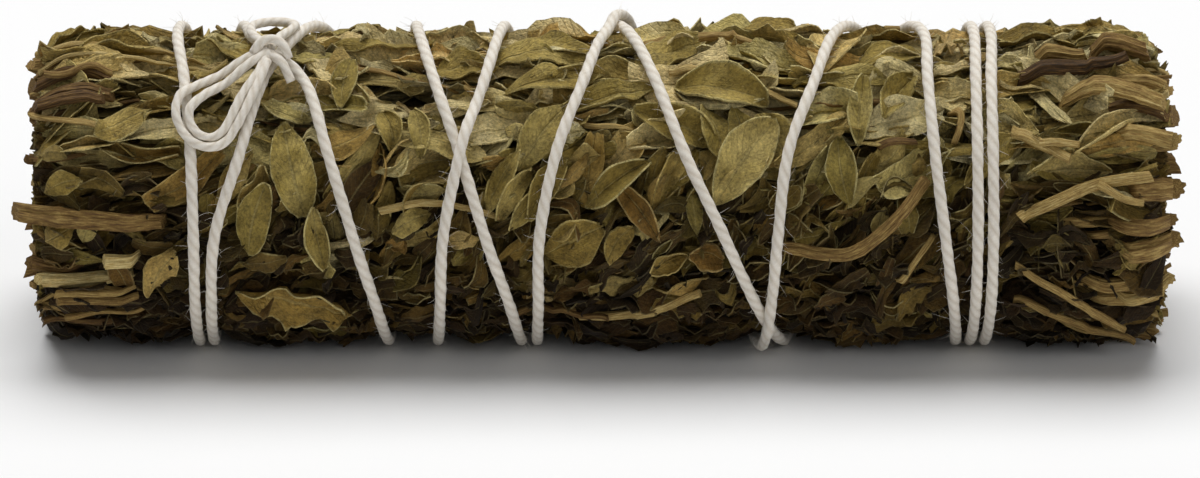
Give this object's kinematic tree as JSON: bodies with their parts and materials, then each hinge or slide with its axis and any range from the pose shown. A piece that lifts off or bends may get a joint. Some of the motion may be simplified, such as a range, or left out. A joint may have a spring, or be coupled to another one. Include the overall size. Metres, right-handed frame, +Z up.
{
  "type": "dried sage bunch",
  "caption": "Dried sage sprigs laid side by side, trimmed at both ends and bound in crossing turns with one cotton string that is tied in a bow.",
  "frame": {"origin": "middle of the rectangle that the bunch covers on the surface it lies on, at that surface", "axes": "+X along the bunch towards the end where the string is doubled, +Z up, -Y to the front"},
  "size_m": [0.1446, 0.0428, 0.0417],
  "materials": {
    "leaf_olive": "dried leaf, matte, olive green",
    "leaf_pale": "dried leaf, matte, pale grey green",
    "leaf_brown": "dried leaf, matte, dark brown",
    "stem": "dry ribbed bark, tan",
    "cotton_string": "twisted undyed cotton, fuzzy"
  },
  "bodies": {
    "root": {"sprig_01_leaves": "leaf_olive", "sprig_01_stem": "stem", "sprig_02_leaves": "leaf_olive", "sprig_02_stem": "stem", "sprig_03_leaves": "leaf_pale", "sprig_03_stem": "stem", "sprig_04_leaves": "leaf_pale", "sprig_04_stem": "stem", "sprig_05_leaves": "leaf_olive", "sprig_05_stem": "stem", "sprig_06_leaves": "leaf_brown", "sprig_06_stem": "stem", "sprig_07_leaves": "leaf_brown", "sprig_07_stem": "stem", "sprig_08_leaves": "leaf_olive", "sprig_08_stem": "stem", "sprig_09_leaves": "leaf_olive", "sprig_09_stem": "stem", "sprig_10_leaves": "leaf_pale", "sprig_10_stem": "stem", "sprig_11_leaves": "leaf_pale", "sprig_11_stem": "stem", "sprig_12_leaves": "leaf_pale", "sprig_12_stem": "stem", "sprig_13_leaves": "leaf_olive", "sprig_13_stem": "stem", "sprig_14_leaves": "leaf_olive", "sprig_14_stem": "stem", "sprig_15_leaves": "leaf_brown", "sprig_15_stem": "stem", "sprig_16_leaves": "leaf_brown", "sprig_16_stem": "stem", "sprig_17_leaves": "leaf_brown", "sprig_17_stem": "stem", "sprig_18_leaves": "leaf_brown", "sprig_18_stem": "stem", "sprig_19_leaves": "leaf_brown", "sprig_19_stem": "stem", "large_oval_leaf": "leaf_pale", "grey_oval_leaf": "leaf_olive", "small_folded_leaf": "leaf_pale", "hanging_leaf": "leaf_olive", "jagged_leaf": "leaf_brown", "pointed_leaf": "leaf_pale", "large_pale_leaf": "leaf_pale", "narrow_hanging_leaf": "leaf_pale", "green_leaf": "leaf_olive", "curled_leaf_middle": "leaf_olive", "leaf_piece_left": "leaf_pale", "curly_twig_left": "stem", "hooked_stem": "stem", "reddish_twig": "stem", "long_twig_lower_right": "stem", "long_twig_bottom_right": "stem", "thick_stem_end_top": "stem", "forked_twig": "stem", "long_forked_twig": "stem", "binding_string": "cotton_string"}
  },
  "joints": []
}
